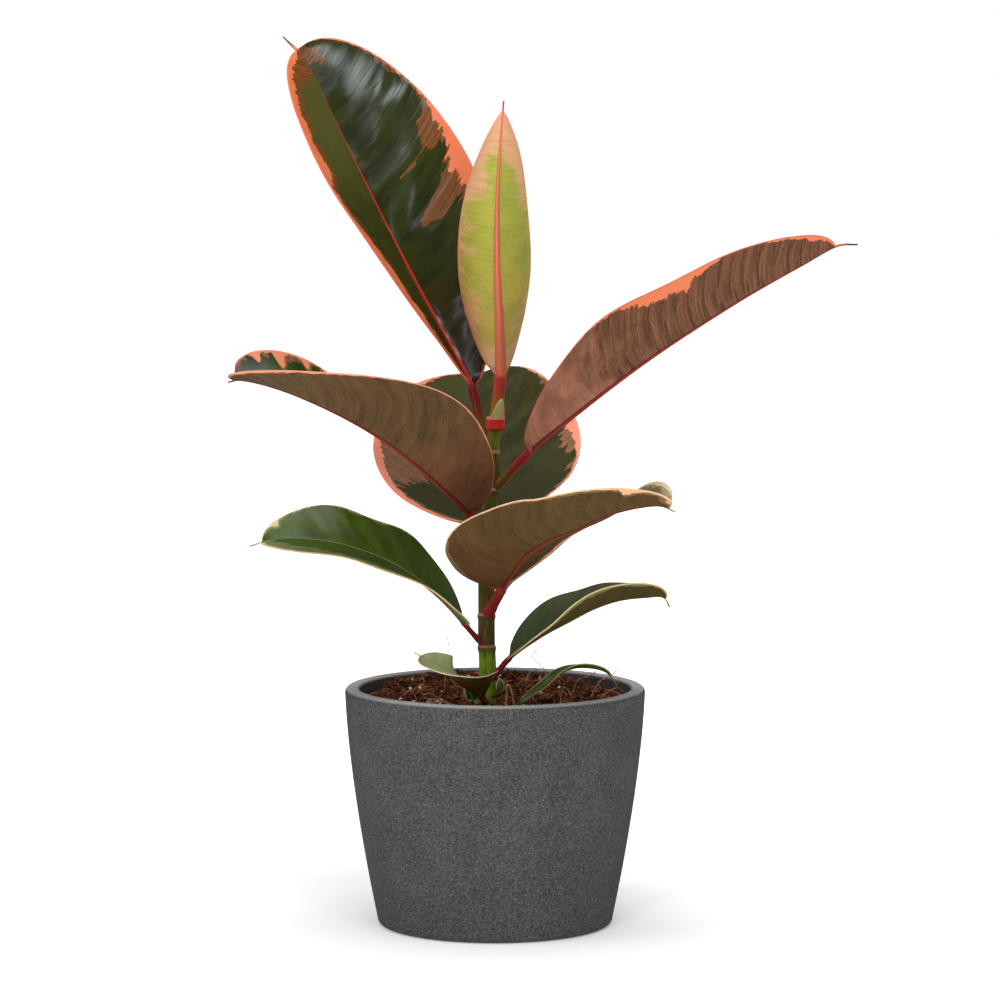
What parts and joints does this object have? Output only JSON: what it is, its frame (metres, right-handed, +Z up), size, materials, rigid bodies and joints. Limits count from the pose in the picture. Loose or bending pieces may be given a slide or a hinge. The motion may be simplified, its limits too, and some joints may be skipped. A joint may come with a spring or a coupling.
{
  "type": "potted rubber plant",
  "caption": "Young variegated rubber plant on a single upright stem, rooted in a nursery pot of coir inside a round, softly tapered grey planter.",
  "frame": {"origin": "middle of the planter's flat foot, where it meets the floor", "axes": "+Z up along the planter's axis; -Y is the side the picture shows; +X to its right"},
  "size_m": [0.2852, 0.2637, 0.4133],
  "materials": {
    "planter_stoneware": "matte",
    "nursery_pot_plastic": "satin",
    "coir_soil": "matte",
    "stem_bark": "satin",
    "stipule_red": "satin",
    "leaf_green": "gloss",
    "leaf_bronze": "satin",
    "leaf_lime": "satin"
  },
  "bodies": {
    "root": {"planter": "planter_stoneware", "nursery_pot": "nursery_pot_plastic", "soil": "coir_soil", "stem": "stem_bark", "stipule_sheath": "stipule_red", "leaf_top_left": "leaf_green", "leaf_new": "leaf_lime", "leaf_right": "leaf_bronze", "leaf_back": "leaf_green", "leaf_left": "leaf_bronze", "leaf_front": "leaf_bronze", "leaf_lower_left": "leaf_green", "leaf_lower_right": "leaf_green", "leaf_low_front": "leaf_green", "leaf_low_right": "leaf_green", "leaf_bud_left": "leaf_green", "leaf_bud_right": "leaf_green"}
  },
  "joints": []
}
